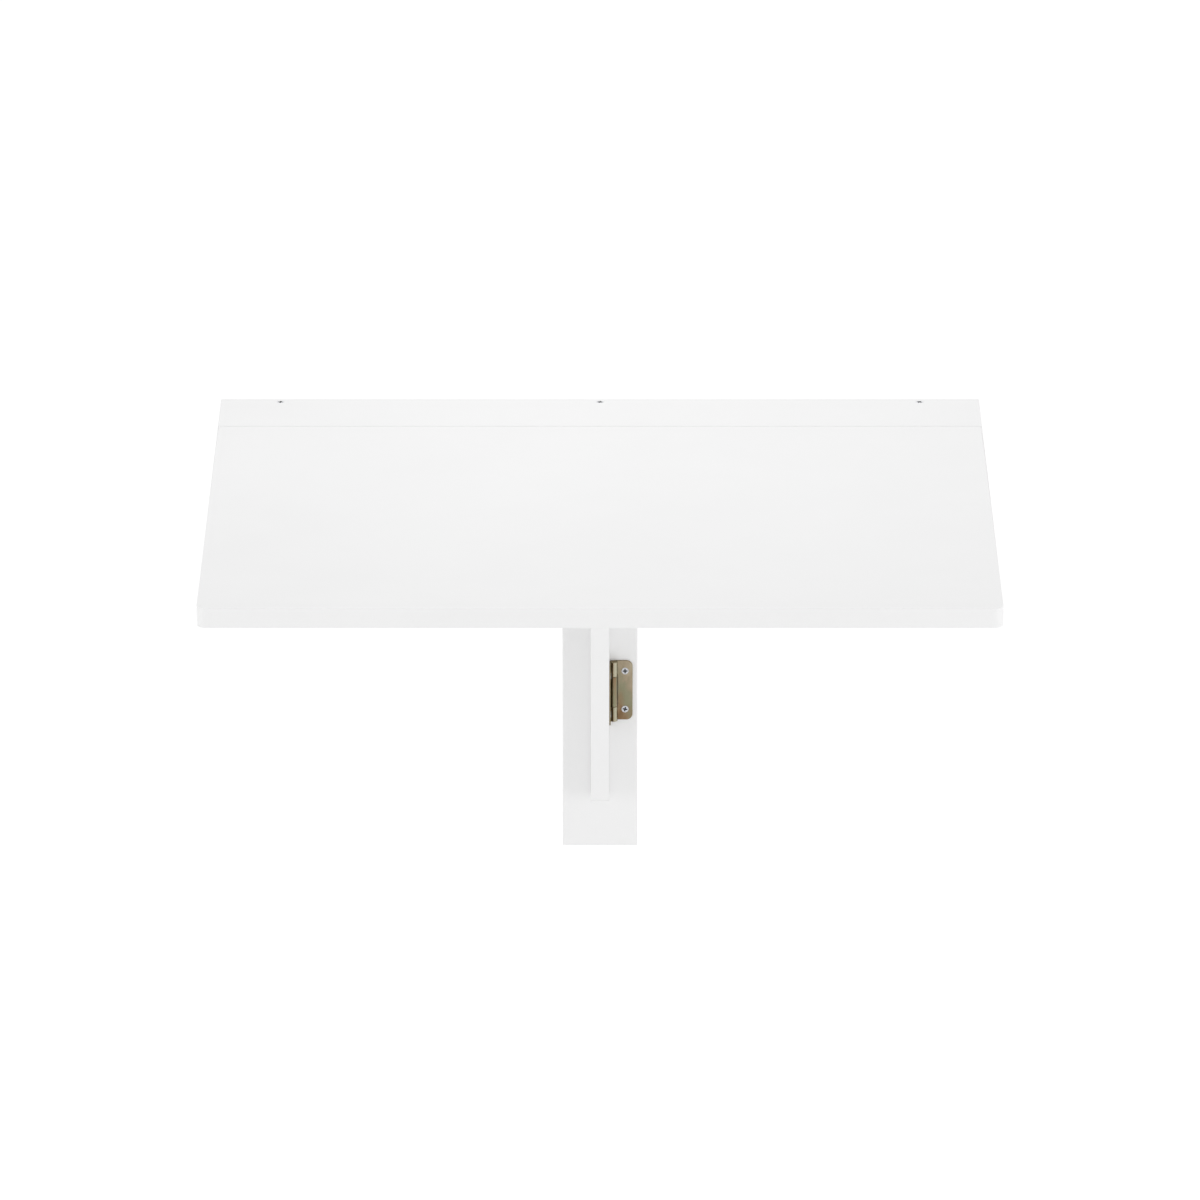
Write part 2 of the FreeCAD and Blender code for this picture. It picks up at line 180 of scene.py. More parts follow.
class BoardSizes(PropertyGroup):
    """Sizes of the boards that their outer boxes don't give"""

    edge_radius: length("Edge radius", 1.5, "Easing of the boards' edges")
    arris: length("Arris", 0.5, "Easing of the strip's top edge at the seam")
    leaf_corner: length("Leaf corner", 9, "Radius of the leaf's front corners, seen from above")
    nose: length("Nose", 40, "Upright front edge of the bracket, before rounding")
    nose_radius: length("Nose radius", 30, "Where the bracket's nose runs into its slope")
    toe: length("Toe", 26, "Flat foot of the bracket, before rounding")
    toe_radius: length("Toe radius", 18, "Where the bracket's slope runs into its foot")
    tip_radius: length("Tip radius", 5, "Top corner of the bracket's nose")
    wall_countersink: length("Wall countersink", 11, "Diameter of the wall holes at the front")
    dowel_clearance: length("Dowel clearance", 0.05, "Dowel in its holes, on the radius")


class HingeSizes(PropertyGroup):
    """Sizes of the four butt hinges, which are alike"""

    wing: length("Wing", 18.7, "Pin axis to a plate's outer edge")
    sheet: length("Sheet", 1.5, "Thickness of the steel sheet")
    corner: length("Corner", 6, "Radius of a plate's outer corners")
    bore: length("Bore", 2.5, "Inner radius of the rolled knuckles")
    standoff: length("Standoff", 4.3, "Pin axis to the board")
    middle: length("Middle knuckle", 31, "Length of the moving plate's knuckle")
    gap: length("Running gap", 0.3, "Between neighbouring knuckles")
    hole_offset: length("Hole offset", 11.35, "Pin axis to a plate's screws")
    hole_pitch: length("Hole pitch", 40, "Screw to screw on one plate")
    shear: length("Sheared edge", 0.25, "Rounding that stamping leaves on the sheet's edges")


class ScrewSizes(PropertyGroup):
    """Sizes of the countersunk screws"""

    hinge_head: length("Hinge screw head", 7, "Diameter over the head")
    hinge_shank: length("Hinge screw", 3.5, "Diameter over the thread")
    hinge_length: length("Hinge screw length", 15, "Head to point")
    hinge_pitch: length("Hinge screw pitch", 1.4, "Thread pitch")
    strip_head: length("Strip screw head", 7.7, "Diameter over the head")
    strip_shank: length("Strip screw", 4, "Diameter over the thread")
    strip_pitch: length("Strip screw pitch", 1.8, "Thread pitch")
    land: length("Head land", 0.3, "Upright rim of a countersunk head")
    proud: length("Proud", 0.3, "How far a hinge screw's head stands out of its plate")
    clearance: length("Clearance", 0.1, "Screw in its hole, on the radius")


class TableColours(PropertyGroup):
    """Colours of the finishes"""

    lacquer: colour("Lacquer", "#F6F6F6", "White lacquer on the boards")
    thin_lacquer: colour("Thin lacquer", "#F4F4F4", "Where the lacquer lies a little thinner")
    olive: colour("Olive film", "#837A62", "Most of the yellow passivate on the hinges")
    pale: colour("Pale film", "#A7A08B", "Thin, pale passivate")
    green: colour("Green film", "#80826A", "Green interference patches")
    rose: colour("Rose film", "#95846F", "Rose interference patches")
    amber: colour("Amber film", "#866A50", "Thick passivate, at the end that a plate drained to")
    # Painted shade in the creases beside a knuckle, the darkest end of the film's ramp
    crease_shade: colour("Pooled film", "#4A3A1C", "Thickest passivate, in the creases beside a knuckle")
    # Painted highlight on the outer knuckles
    knuckle_highlight: colour("Rubbed film", "#A6A28D", "Thinnest passivate, on the outer knuckles")
    sheared: colour("Sheared edge", "#8A7B5C", "Cut edges of the hinge sheet")
    # Darker copy of the strip screws' zinc, as painted shade
    zinc: colour("Bright zinc", "#C2C3C6", "Plating of the hinges' screws")
    # Lighter copy of the same zinc, as painted highlight
    lit_strip_zinc: colour("Brighter zinc", "#E4E5E7", "Plating of the strip's screws")
    # Painted shade inside the screws' cross recess
    recess: colour("Punched recess", "#4E4F52", "Inside of the screws' cross recess")
    beech: colour("Beech", "#CDA57A", "Turned dowels")
    beech_ring: colour("Beech ring", "#B3875B", "Growth rings of the dowels")


class StageSettings(PropertyGroup):
    """Camera, light and floor"""

    floor_drop: length("Floor drop", 1000, "Table top to the floor")
    floor_radius: length("Floor radius", 7000, "Radius of the round floor")
    floor_colour: colour("Floor", "#FAFAFA", "Pale floor")
    camera_distance: length("Camera distance", 8654, "Wall to the camera, level")
    camera_height: length("Camera height", 2923, "Table top to the camera")
    camera_pitch: FloatProperty(
        name="Camera pitch", description="Tilt below level", default=math.radians(19.894), subtype="ANGLE"
    )
    lens: FloatProperty(name="Lens", description="Focal length in mm on a 36 mm frame", default=280.7)
    sky: FloatProperty(name="Sky", description="Strength of the even light from all round", default=0.785)
    top_lamp: FloatProperty(name="Top lamp", description="Watts of the lamp above the table", default=2.4)
    left_lamp: FloatProperty(name="Left lamp", description="Watts of the lamp on the left", default=14.5)
    right_lamp: FloatProperty(name="Right lamp", description="Watts of the lamp on the right", default=18.5)
    floor_lift: FloatProperty(name="Floor lift", description="Brightening of the seen floor", default=0.3)


def add_node(tree, kind, inputs=(), settings=()):
    """Adds a shader node. inputs and settings are dicts. An input is a value or another node's socket."""
    node = tree.nodes.new(kind)
    for name, value in dict(settings).items():
        setattr(node, name, value)
    for name, value in dict(inputs).items():
        if isinstance(value, bpy.types.NodeSocket):
            tree.links.new(value, node.inputs[name])
        else:
            node.inputs[name].default_value = value
    return node


def stops(ramp, *colours):
    """Fills a colour ramp with (position, colour) stops that run into each other."""
    ramp.color_ramp.interpolation = "B_SPLINE"
    elements = ramp.color_ramp.elements
    while len(elements) < len(colours):
        elements.new(1)
    for element, (position, value) in zip(elements, colours):
        element.position = position
        element.color = value


def material_tree(name):
    """A new material with an empty node tree."""
    material = bpy.data.materials.new(name)
    material.use_nodes = True
    material.node_tree.nodes.clear()
    return material, material.node_tree


def textured_tree(name):
    """A new material, its tree, and the place on the piece that its patterns go by."""
    material, tree = material_tree(name)
    return material, tree, add_node(tree, "ShaderNodeTexCoord").outputs["Object"]


def closed(material, shader):
    """A material whose tree ends with that shader."""
    add_node(material.node_tree, "ShaderNodeOutputMaterial", {"Surface": shader})
    return material


def sprayed_lacquer(colours):
    """Satin lacquer sprayed on fibreboard: even and white, with shallow orange peel and faint clouds."""
    material, tree, place = textured_tree("satin white lacquer, sprayed on fibreboard")
    # Orange peel is about 2.5 mm from dimple to dimple and a few micrometres deep.
    peel = add_node(tree, "ShaderNodeTexNoise", {"Vector": place, "Scale": 1 / (2.5 * MM), "Detail": 2})
    bump = add_node(
        tree, "ShaderNodeBump", {"Height": peel.outputs["Fac"], "Strength": 0.6, "Distance": 0.01 * MM}
    )
    # The passes of the spray gun overlap about every 120 mm.
    cloud = add_node(tree, "ShaderNodeTexNoise", {"Vector": place, "Scale": 1 / (120 * MM), "Detail": 3})
    tint = add_node(tree, "ShaderNodeValToRGB", {"Fac": cloud.outputs["Fac"]})
    stops(tint, (0.3, colours.lacquer), (0.7, colours.thin_lacquer))
    sheen = add_node(
        tree,
        "ShaderNodeMapRange",
        {"Value": cloud.outputs["Fac"], "From Min": 0.3, "From Max": 0.7, "To Min": 0.36, "To Max": 0.46},
    )
    shader = add_node(
        tree,
        "ShaderNodeBsdfPrincipled",
        {
            "Base Color": tint.outputs["Color"],
            "Roughness": sheen.outputs["Result"],
            "IOR": 1.5,
            "Normal": bump.outputs["Normal"],
        },
    )
    return closed(material, shader.outputs["BSDF"])


def film_and_crease_shade(tree, place, at):
    """Where a plate's film lies on its ramp of colours: the thicker the film, the lower, and lower still
    where painted shade darkens the lines beside a knuckle.
    """
    seed = add_node(tree, "ShaderNodeAttribute", settings={"attribute_name": FILM_SEED})
    # The film changes thickness, and so its colour, over about 16 mm across the sheet and 34 mm along it.
    drawn = add_node(
        tree, "ShaderNodeMapping", {"Vector": place, "Scale": (1 / (16 * MM), 1 / (16 * MM), 1 / (34 * MM))}
    )
    film = add_node(
        tree,
        "ShaderNodeTexNoise",
        {
            "Vector": drawn.outputs["Vector"],
            "W": seed.outputs["Fac"],
            "Scale": 1,
            "Detail": 5,
            "Roughness": 0.55,
        },
        {"noise_dimensions": "4D"},
    )
    # A plate hangs by one end while it drains, so the film is thicker towards the other.
    drained = add_node(
        tree,
        "ShaderNodeMapRange",
        {"Value": at["Z"], "From Min": -31 * MM, "From Max": 31 * MM, "To Min": 0.16, "To Max": -0.2},
    )
    parts = [drained]
    # Painted shade darkens it beside a knuckle, in lines 2 mm wide at most: where the knuckle meets its
    # plate, and on its far side, where the other plate comes close.
    for shade_line, shade_amount in SHADED_CREASES:
        beside = add_node(tree, "ShaderNodeMath", {0: at["X"], 1: shade_line}, {"operation": "SUBTRACT"})
        away = add_node(tree, "ShaderNodeMath", {0: beside.outputs["Value"]}, {"operation": "ABSOLUTE"})
        span = {"From Min": 0.3 * MM, "From Max": 1 * MM, "To Min": shade_amount, "To Max": 0}
        parts.append(add_node(tree, "ShaderNodeMapRange", {"Value": away.outputs["Value"], **span}))
    depth = film.outputs["Fac"]
    for part in parts:
        more = add_node(tree, "ShaderNodeMath", {0: depth, 1: part.outputs["Result"]}, {"operation": "ADD"})
        depth = more.outputs["Value"]
    return depth


def knuckle_highlight_share(tree, at):
    """How much of a plate's film gives way to the painted highlight on the outer knuckles."""
    # The outer knuckles stand clear of the plate's face, 2.8 mm behind the pin, and begin 15.8 mm from the
    # middle. They get a pale painted highlight, except on the side away from their own plate, which keeps
    # the film's darker colour as painted shade.
    end = add_node(tree, "ShaderNodeMath", {0: at["Z"]}, {"operation": "ABSOLUTE"})
    highlight = KNUCKLE_HIGHLIGHT
    for where, none, full in (
        (at["Y"], -2.4 * MM, -1.4 * MM),
        (at["X"], -0.4 * MM, 1.2 * MM),
        (end.outputs["Value"], 15.5 * MM, 16 * MM),
    ):
        share = add_node(tree, "ShaderNodeMapRange", {"Value": where, "From Min": none, "From Max": full})
        left = add_node(
            tree, "ShaderNodeMath", {0: highlight, 1: share.outputs["Result"]}, {"operation": "MULTIPLY"}
        )
        highlight = left.outputs["Value"]
    return highlight


def passivated_zinc(colours):
    """Steel sheet, zinc plated and yellow passivated: a glossy film of amber, olive, green and rose, with
    painted shade beside the knuckles and a painted highlight on the outer knuckles.
    """
    material, tree, place = textured_tree("steel sheet, zinc plated and yellow passivated")
    at = add_node(tree, "ShaderNodeSeparateXYZ", {"Vector": place}).outputs
    # The film's place on the ramp, darkened by painted shade beside the knuckles; the darkest stop is that
    # shade.
    tint = add_node(tree, "ShaderNodeValToRGB", {"Fac": film_and_crease_shade(tree, place, at)})
    stops(
        tint,
        (0.02, colours.crease_shade),
        (0.20, colours.amber),
        (0.36, colours.olive),
        (0.47, colours.green),
        (0.58, colours.rose),
        (0.72, colours.pale),
    )
    # The outer knuckles get the painted highlight, and their far side keeps the film as painted shade.
    film_and_highlight = add_node(
        tree,
        "ShaderNodeMix",
        {"Factor": knuckle_highlight_share(tree, at), 6: tint.outputs["Color"], 7: colours.knuckle_highlight},
        {"data_type": "RGBA"},
    )
    # Spangle of the zinc under the film, about 0.7 mm
    grain = add_node(tree, "ShaderNodeTexNoise", {"Vector": place, "Scale": 1 / (0.7 * MM), "Detail": 3})
    bump = add_node(
        tree, "ShaderNodeBump", {"Height": grain.outputs["Fac"], "Strength": 0.5, "Distance": 0.005 * MM}
    )
    gloss = add_node(
        tree,
        "ShaderNodeMapRange",
        {"Value": grain.outputs["Fac"], "From Min": 0.3, "From Max": 0.7, "To Min": 0.17, "To Max": 0.3},
    )
    shader = add_node(
        tree,
        "ShaderNodeBsdfPrincipled",
        {
            "Base Color": film_and_highlight.outputs[2],
            "Metallic": 1,
            "Roughness": gloss.outputs["Result"],
            "Normal": bump.outputs["Normal"],
        },
    )
    return closed(material, shader.outputs["BSDF"])


def sheared_edge(colours):
    """Cut edge of the same sheet: torn by the shear, so darker and duller, with fine marks."""
    material, tree, place = textured_tree("steel sheet, sheared edge under yellow passivate")
    # Shear marks about 0.3 mm apart
    marks = add_node(tree, "ShaderNodeTexNoise", {"Vector": place, "Scale": 1 / (0.3 * MM), "Detail": 2})
    tint = add_node(tree, "ShaderNodeValToRGB", {"Fac": marks.outputs["Fac"]})
    stops(tint, (0.35, colours.sheared), (0.75, colours.olive))
    shader = add_node(
        tree,
        "ShaderNodeBsdfPrincipled",
        {"Base Color": tint.outputs["Color"], "Metallic": 1, "Roughness": 0.5},
    )
    return closed(material, shader.outputs["BSDF"])


def zinc_plating(name, tone):
    """Cold headed steel with bright zinc plating: pale, a little blue, and finely mottled."""
    material, tree, place = textured_tree(name)
    # Mottling of the plating, about 0.5 mm
    mottle = add_node(tree, "ShaderNodeTexNoise", {"Vector": place, "Scale": 1 / (0.5 * MM), "Detail": 2})
    gloss = add_node(
        tree,
        "ShaderNodeMapRange",
        {"Value": mottle.outputs["Fac"], "From Min": 0.3, "From Max": 0.7, "To Min": 0.2, "To Max": 0.34},
    )
    bump = add_node(
        tree, "ShaderNodeBump", {"Height": mottle.outputs["Fac"], "Strength": 0.4, "Distance": 0.004 * MM}
    )
    shader = add_node(
        tree,
        "ShaderNodeBsdfPrincipled",
        {
            "Base Color": tone,
            "Metallic": 1,
            "Roughness": gloss.outputs["Result"],
            "Normal": bump.outputs["Normal"],
        },
    )
    return closed(material, shader.outputs["BSDF"])


def shaded_hinge_screw_zinc(colours):
    """Bright zinc, a darker copy of the strip screws' zinc as painted shade."""
    return zinc_plating("steel screw, bright zinc plated", colours.zinc)


def lit_strip_screw_zinc(colours):
    """The same bright zinc in a lighter copy: a painted highlight on top of what a flat head mirrors of the
    white behind the table.
    """
    return zinc_plating("steel screw, bright zinc plated and clear passivated", colours.lit_strip_zinc)


def shaded_punched_recess(colours):
    """Inside of the cross recess: dull, and dark as painted shade in the recess."""
    material, tree, place = textured_tree("steel screw, punched recess")
    # Punch marks about 0.4 mm apart
    marks = add_node(tree, "ShaderNodeTexNoise", {"Vector": place, "Scale": 1 / (0.4 * MM), "Detail": 2})
    gloss = add_node(
        tree, "ShaderNodeMapRange", {"Value": marks.outputs["Fac"], "To Min": 0.4, "To Max": 0.65}
    )
    shader = add_node(
        tree,
        "ShaderNodeBsdfPrincipled",
        {"Base Color": colours.recess, "Metallic": 1, "Roughness": gloss.outputs["Result"]},
    )
    return closed(material, shader.outputs["BSDF"])


def turned_beech(colours):
    """Raw turned beech: pale brown, with close growth rings and short dark flecks along the grain."""
    material, tree, place = textured_tree("beech dowel, turned and left raw")
    # Rings are about 1.5 mm apart, and run along the dowel for some 40 mm.
    grain = add_node(
        tree,
        "ShaderNodeMapping",
        {"Vector": place, "Scale": (1 / (1.5 * MM), 1 / (1.5 * MM), 1 / (40 * MM))},
    )
    rings = add_node(
        tree, "ShaderNodeTexNoise", {"Vector": grain.outputs["Vector"], "Scale": 1, "Detail": 4}
    )
    tint = add_node(tree, "ShaderNodeValToRGB", {"Fac": rings.outputs["Fac"]})
    stops(tint, (0.35, colours.beech), (0.65, colours.beech_ring))
    bump = add_node(
        tree, "ShaderNodeBump", {"Height": rings.outputs["Fac"], "Strength": 0.5, "Distance": 0.05 * MM}
    )
    shader = add_node(
        tree,
        "ShaderNodeBsdfPrincipled",
        {"Base Color": tint.outputs["Color"], "Roughness": 0.65, "Normal": bump.outputs["Normal"]},
    )
    return closed(material, shader.outputs["BSDF"])


def seen_by(tree, *kinds):
    """1 for rays of those kinds, 0 for all others."""
    rays = add_node(tree, "ShaderNodeLightPath").outputs
    seen = 0
    for kind in kinds:
        either = add_node(tree, "ShaderNodeMath", {0: seen, 1: rays[kind]}, {"operation": "MAXIMUM"})
        seen = either.outputs["Value"]
    return seen


def pale_floor(stage):
    """Matt pale floor. The camera, and metal that mirrors it, sees it a little brighter, so that it runs
    into the white around it."""
    material, tree = material_tree("pale studio floor, matt paint")
    seen = seen_by(tree, "Is Camera Ray", "Is Glossy Ray")
    lift = add_node(tree, "ShaderNodeMath", {0: seen, 1: stage.floor_lift}, {"operation": "MULTIPLY"})
    paint = add_node(
        tree,
        "ShaderNodeBsdfPrincipled",
        {
            "Base Color": stage.floor_colour,
            "Roughness": 0.9,
            "Specular IOR Level": 0.1,
            "Emission Color": (1, 1, 1, 1),
            "Emission Strength": lift.outputs["Value"],
        },
    )
    # Seen from below the floor is clear, so that the underside of the table can be looked at.
    side = add_node(tree, "ShaderNodeNewGeometry")
    clear = add_node(tree, "ShaderNodeBsdfTransparent")
    both = add_node(
        tree,
        "ShaderNodeMixShader",
        {0: side.outputs["Backfacing"], 1: paint.outputs["BSDF"], 2: clear.outputs["BSDF"]},
    )
    return closed(material, both.outputs["Shader"])


def finish_of(make):
    """The material that a function makes of the table's colours, made once and kept by its name."""
    scene = bpy.context.scene
    key = f"finish_{make.__name__}"
    if key not in scene:
        scene[key] = make(scene.table_colours).name
    return bpy.data.materials[scene[key]]


def turned(profile, shape=None):
    """A solid turned about z. profile is (radius, height) from the top of the axis to its bottom, and shape
    may change the radius at a height and an angle."""
    bm = bmesh.new()
    rings = []
    for radius, height in profile:
        if radius == 0:
            rings.append([bm.verts.new((0, 0, height))])
            continue
        ring = []
        for step in range(TURN_STEPS):
            angle = math.tau * step / TURN_STEPS
            at = shape(radius, height, angle) if shape else radius
            ring.append(bm.verts.new((at * math.cos(angle), at * math.sin(angle), height)))
        rings.append(ring)
    for upper, lower in zip(rings, rings[1:]):
        for step in range(TURN_STEPS):
            after = (step + 1) % TURN_STEPS
            if len(upper) == 1:
                bm.faces.new((upper[0], lower[step], lower[after]))
            elif len(lower) == 1:
                bm.faces.new((upper[after], upper[step], lower[0]))
            else:
                bm.faces.new((upper[step], lower[step], lower[after], upper[after]))
    return bm


def rounded(corners):
    """A counterclockwise outline from corners (x, y, radius), with an arc at each one that has a radius."""
    outline = []
    for i, (x, y, radius) in enumerate(corners):
        here = Vector((x, y))
        if not radius:
            outline.append(here)
            continue
        before = (Vector(corners[i - 1][:2]) - here).normalized()
        after = (Vector(corners[(i + 1) % len(corners)][:2]) - here).normalized()
        half = before.angle(after) / 2
        centre = here + (before + after).normalized() * radius / math.sin(half)
        start = here + before * radius / math.tan(half) - centre
        sweep = math.pi - 2 * half
        for step in range(CORNER_STEPS + 1):
            outline.append(centre + Matrix.Rotation(sweep * step / CORNER_STEPS, 2) @ start)
    return outline


def rectangle(left, low, right, high, radius=0):
    """A rectangle's outline, with that radius at its two lower corners."""
    return rounded([(left, low, radius), (right, low, radius), (right, high, 0), (left, high, 0)])


def ease(bm, edges, radius):
    """Rounds edges of a solid off."""
    bmesh.ops.bevel(bm, geom=edges, offset=radius, segments=EDGE_STEPS, profile=ARC, affect="EDGES")


def slab(outline, thickness, radius, eased):
    """A flat outline given a thickness along z, with the rims that eased chooses rounded off."""
    bm = bmesh.new()
    low = [bm.verts.new((x, y, 0)) for x, y in outline]
    high = [bm.verts.new((x, y, thickness)) for x, y in outline]
    bm.faces.new(low[::-1])
    bm.faces.new(high)
    rims = []
    for i, a in enumerate(outline):
        j = (i + 1) % len(outline)
        bm.faces.new((low[i], low[j], high[j], high[i]))
        for ring, is_high in ((low, False), (high, True)):
            if eased(a, outline[j], is_high):
                rims.append(bm.edges.get((ring[i], ring[j])))
    ease(bm, rims, radius)
    return bm


def inset(outline, distance):
    """A counterclockwise outline drawn in by a distance, with every corner mitred, inward ones too."""
    drawn = []
    for i, here in enumerate(outline):
        before = (here - outline[i - 1]).normalized()
        after = (outline[(i + 1) % len(outline)] - here).normalized()
        inward = Vector((-before.y - after.y, before.x + after.x))
        drawn.append(here + inward * distance / (1 + before.dot(after)))
    return drawn


def stamped(outline, thickness, radius):
    """A flat outline given a thickness along z, with both rims rounded off all the way round."""
    rim = []
    for step in range(SHEAR_STEPS + 1):
        angle = math.pi / 2 * step / SHEAR_STEPS
        rim.append((radius * (1 - math.sin(angle)), radius * (1 - math.cos(angle))))
    levels = rim + [(drawn, thickness - height) for drawn, height in reversed(rim)]
    bm = bmesh.new()
    rings = []
    for drawn, height in levels:
        rings.append([bm.verts.new((x, y, height)) for x, y in inset(outline, drawn)])
    bm.faces.new(rings[0][::-1])
    bm.faces.new(rings[-1])
    for lower, upper in zip(rings, rings[1:]):
        for i, corner in enumerate(lower):
            j = (i + 1) % len(lower)
            bm.faces.new((corner, lower[j], upper[j], upper[i]))
    bm.normal_update()
    return bm


def as_mesh(bm, materials=()):
    """A solid as a mesh with those materials. The solid is used up."""
    mesh = bpy.data.meshes.new("solid")
    bm.to_mesh(mesh)
    bm.free()
    for material in materials:
        mesh.materials.append(material)
    return mesh


def gathered(parts):
    """Several solids, each with its place, as one. Every solid given is used up."""
    whole = bmesh.new()
    for bm, place in parts:
        mesh = as_mesh(bm)
        mesh.transform(place)
        whole.from_mesh(mesh)
        bpy.data.meshes.remove(mesh)
    return whole


def placed(bm, place):
    """A solid moved to its place."""
    bmesh.ops.transform(bm, matrix=place, verts=bm.verts)
    return bm


def cut(solid, tool, materials):
    """What is left of a solid when a tool has been taken out of it, as a mesh with those materials."""
    things = []
    for bm in (solid, tool):
        thing = bpy.data.objects.new("cut", as_mesh(bm, materials))
        bpy.context.scene.collection.objects.link(thing)
        things.append(thing)
    modifier = things[0].modifiers.new("cut", "BOOLEAN")
    modifier.object = things[1]
    modifier.solver = "EXACT"
    depsgraph = bpy.context.evaluated_depsgraph_get()
    result = bpy.data.meshes.new_from_object(things[0].evaluated_get(depsgraph), depsgraph=depsgraph)
    for thing in things:
        bpy.data.meshes.remove(thing.data)
    return result


def new_piece(name, mesh, body, node, place=None):
    """Puts a finished mesh on its body, in place of its CAD node."""
    mesh.name = name
    mesh.shade_smooth()
    mesh.set_sharp_from_angle(angle=SHARP)
    piece = bpy.data.objects.new(name, mesh)
    bpy.context.scene.collection.objects.link(piece)
    if place:
        piece.matrix_world = place
    flat = piece.modifiers.new("flat faces stay flat", "WEIGHTED_NORMAL")
    flat.keep_sharp = True
    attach(piece, body)
    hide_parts(node)


def hinge_seat(hinge, plate):
    """The place of a hinge plate: its pin's middle, and its own three directions."""
    low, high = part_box(f"{hinge}_pin")
    x, y = Vector(plate.x), Vector(plate.y)
    seat = Matrix((x, y, x.cross(y))).transposed().to_4x4()
    seat.translation = (low + high) / 2
    return seat


def plate_screw_places(sizes, screws):
    """Where the two screws of a hinge plate stand in the plate's own frame, with z out of their heads."""
    upright = Matrix.Rotation(-math.pi / 2, 4, "X")
    top = sizes.sheet - sizes.standoff + screws.proud
    half = sizes.hole_pitch / 2
    return [Matrix.Translation((sizes.hole_offset, top, z)) @ upright for z in (-half, half)]


def strip_screw_places(screws):
    """Where the screws in the top strip stand: near both ends and in the middle."""
    low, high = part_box("strip_screws")
    half = screws.strip_head / 2
    middle = (low + high) / 2
    return [Matrix.Translation((x, middle.y, high.z)) for x in (low.x + half, middle.x, high.x - half)]


def screw_hole(head, shank, depth, screws):
    """A tool for a countersunk hole, head up at z = 0."""
    gap = screws.clearance
    neck = -screws.land - (head - shank) / 2
    profile = [
        (0, OVERRUN),
        (head / 2 + gap, OVERRUN),
        (head / 2 + gap, -screws.land),
        (shank / 2 + gap, neck),
        (shank / 2 + gap, shank - depth),
        (0, -depth - gap),
    ]
    return turned(profile)


def hinge_screw_holes(board, scene):
    """Tools for the pilot holes of every hinge plate on one board."""
    sizes, screws = scene.table_hinges, scene.table_screws
    tools = []
    for hinge, plates in HINGES.items():
        for plate in plates:
            if plate.board == board:
                for place in plate_screw_places(sizes, screws):
                    hole = screw_hole(screws.hinge_head, screws.hinge_shank, screws.hinge_length, screws)
                    tools.append((hole, hinge_seat(hinge, plate) @ place))
    return tools


def strip_screw_holes(screws):
    """Tools for the holes of the top strip's screws, through the strip and into the rail."""
    low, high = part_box("strip_screws")
    depth = high.z - low.z
    return [
        (screw_hole(screws.strip_head, screws.strip_shank, depth, screws), place)
        for place in strip_screw_places(screws)
    ]


def wall_holes(node, boards):
    """Tools for the countersunk holes of a board's wall screws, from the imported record's mounts."""
    low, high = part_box(node)
    tools = []
    for mount in frame["record"]["mounts"]:
        spacing = mount["dims"].get("spacing_x_mm")
        height = mount["pos_m"][2]
        if spacing is None or not low.z < height < high.z:
            continue
        radius = mount["dims"]["hole_r_mm"] * MM
        head = boards.wall_countersink / 2
        depth = high.y - low.y + OVERRUN
        profile = [
            (0, OVERRUN),
            (head, OVERRUN),
            (head, 0),
            (radius, radius - head),
            (radius, -depth),
            (0, -depth),
        ]
        for side in (-1, 1):
            x = mount["pos_m"][0] + side * spacing * MM / 2
            place = Matrix.Translation((x, low.y, height)) @ Matrix.Rotation(math.pi / 2, 4, "X")
            tools.append((turned(profile), place))
    return tools


def dowel_places():
    """Where the two dowels stand, their radius and half their length."""
    low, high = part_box("post_dowels")
    middle = (low + high) / 2
    radius = (high.y - low.y) / 2
    places = [Matrix.Translation((x, middle.y, middle.z)) for x in (low.x + radius, high.x - radius)]
    return places, radius, (high.z - low.z) / 2


def dowel_holes(boards):
    """Tools for the dowels' holes in the rail and the post."""
    places, radius, half = dowel_places()
    radius += boards.dowel_clearance
    half += boards.dowel_clearance
    profile = [(0, half), (radius, half), (radius, -half), (0, -half)]
    return [(turned(profile), place) for place in places]


def new_board(name, bm, tools, body, node):
    """Cuts a board's holes, lacquers it and puts it on its body."""
    lacquer = [finish_of(sprayed_lacquer)]
    new_piece(name, cut(bm, gathered(tools), lacquer), body, node)


class TABLE_OT_top_strip(Operator):
    """Makes the narrow strip of the top that stays on the wall, eased at its ends and at the seam"""

    bl_idname = "table.top_strip"
    bl_label = "Top Strip"

    def execute(self, context):
        scene = context.scene
        boards = scene.table_boards
        low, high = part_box("fixed_top_strip")
        thick = high.z - low.z

        def at_an_end(a, b, is_high):
            return a.x == b.x

        bm = slab(rectangle(low.x, low.y, high.x, high.y), thick, boards.edge_radius, at_an_end)
        line = Vector((low.y, thick))
        seam = [e for e in bm.edges if all((v.co.yz - line).length < SAME for v in e.verts)]
        ease(bm, seam, boards.arris)
        bm = placed(bm, Matrix.Translation((0, 0, low.z)))
        tools = strip_screw_holes(scene.table_screws) + hinge_screw_holes("strip", scene)
        new_board("lacquered_strip", bm, tools, "wall_frame", "fixed_top_strip")
        return {"FINISHED"}


class TABLE_OT_leaf(Operator):
    """Makes the hinged leaf: rounded front corners and an eased rim, but a square edge at the seam"""

    bl_idname = "table.leaf"
    bl_label = "Leaf"

    def execute(self, context):
        scene = context.scene
        boards = scene.table_boards
        low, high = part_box("drop_leaf")
        outline = rectangle(low.x, low.y, high.x, high.y, boards.leaf_corner)
        seam = outline[-1].y

        def but_the_seam(a, b, is_high):
            return not a.y == b.y == seam

        bm = slab(outline, high.z - low.z, boards.edge_radius, but_the_seam)
        bm = placed(bm, Matrix.Translation((0, 0, low.z)))
        new_board("lacquered_leaf", bm, hinge_screw_holes("leaf", scene), "leaf", "drop_leaf")
        return {"FINISHED"}


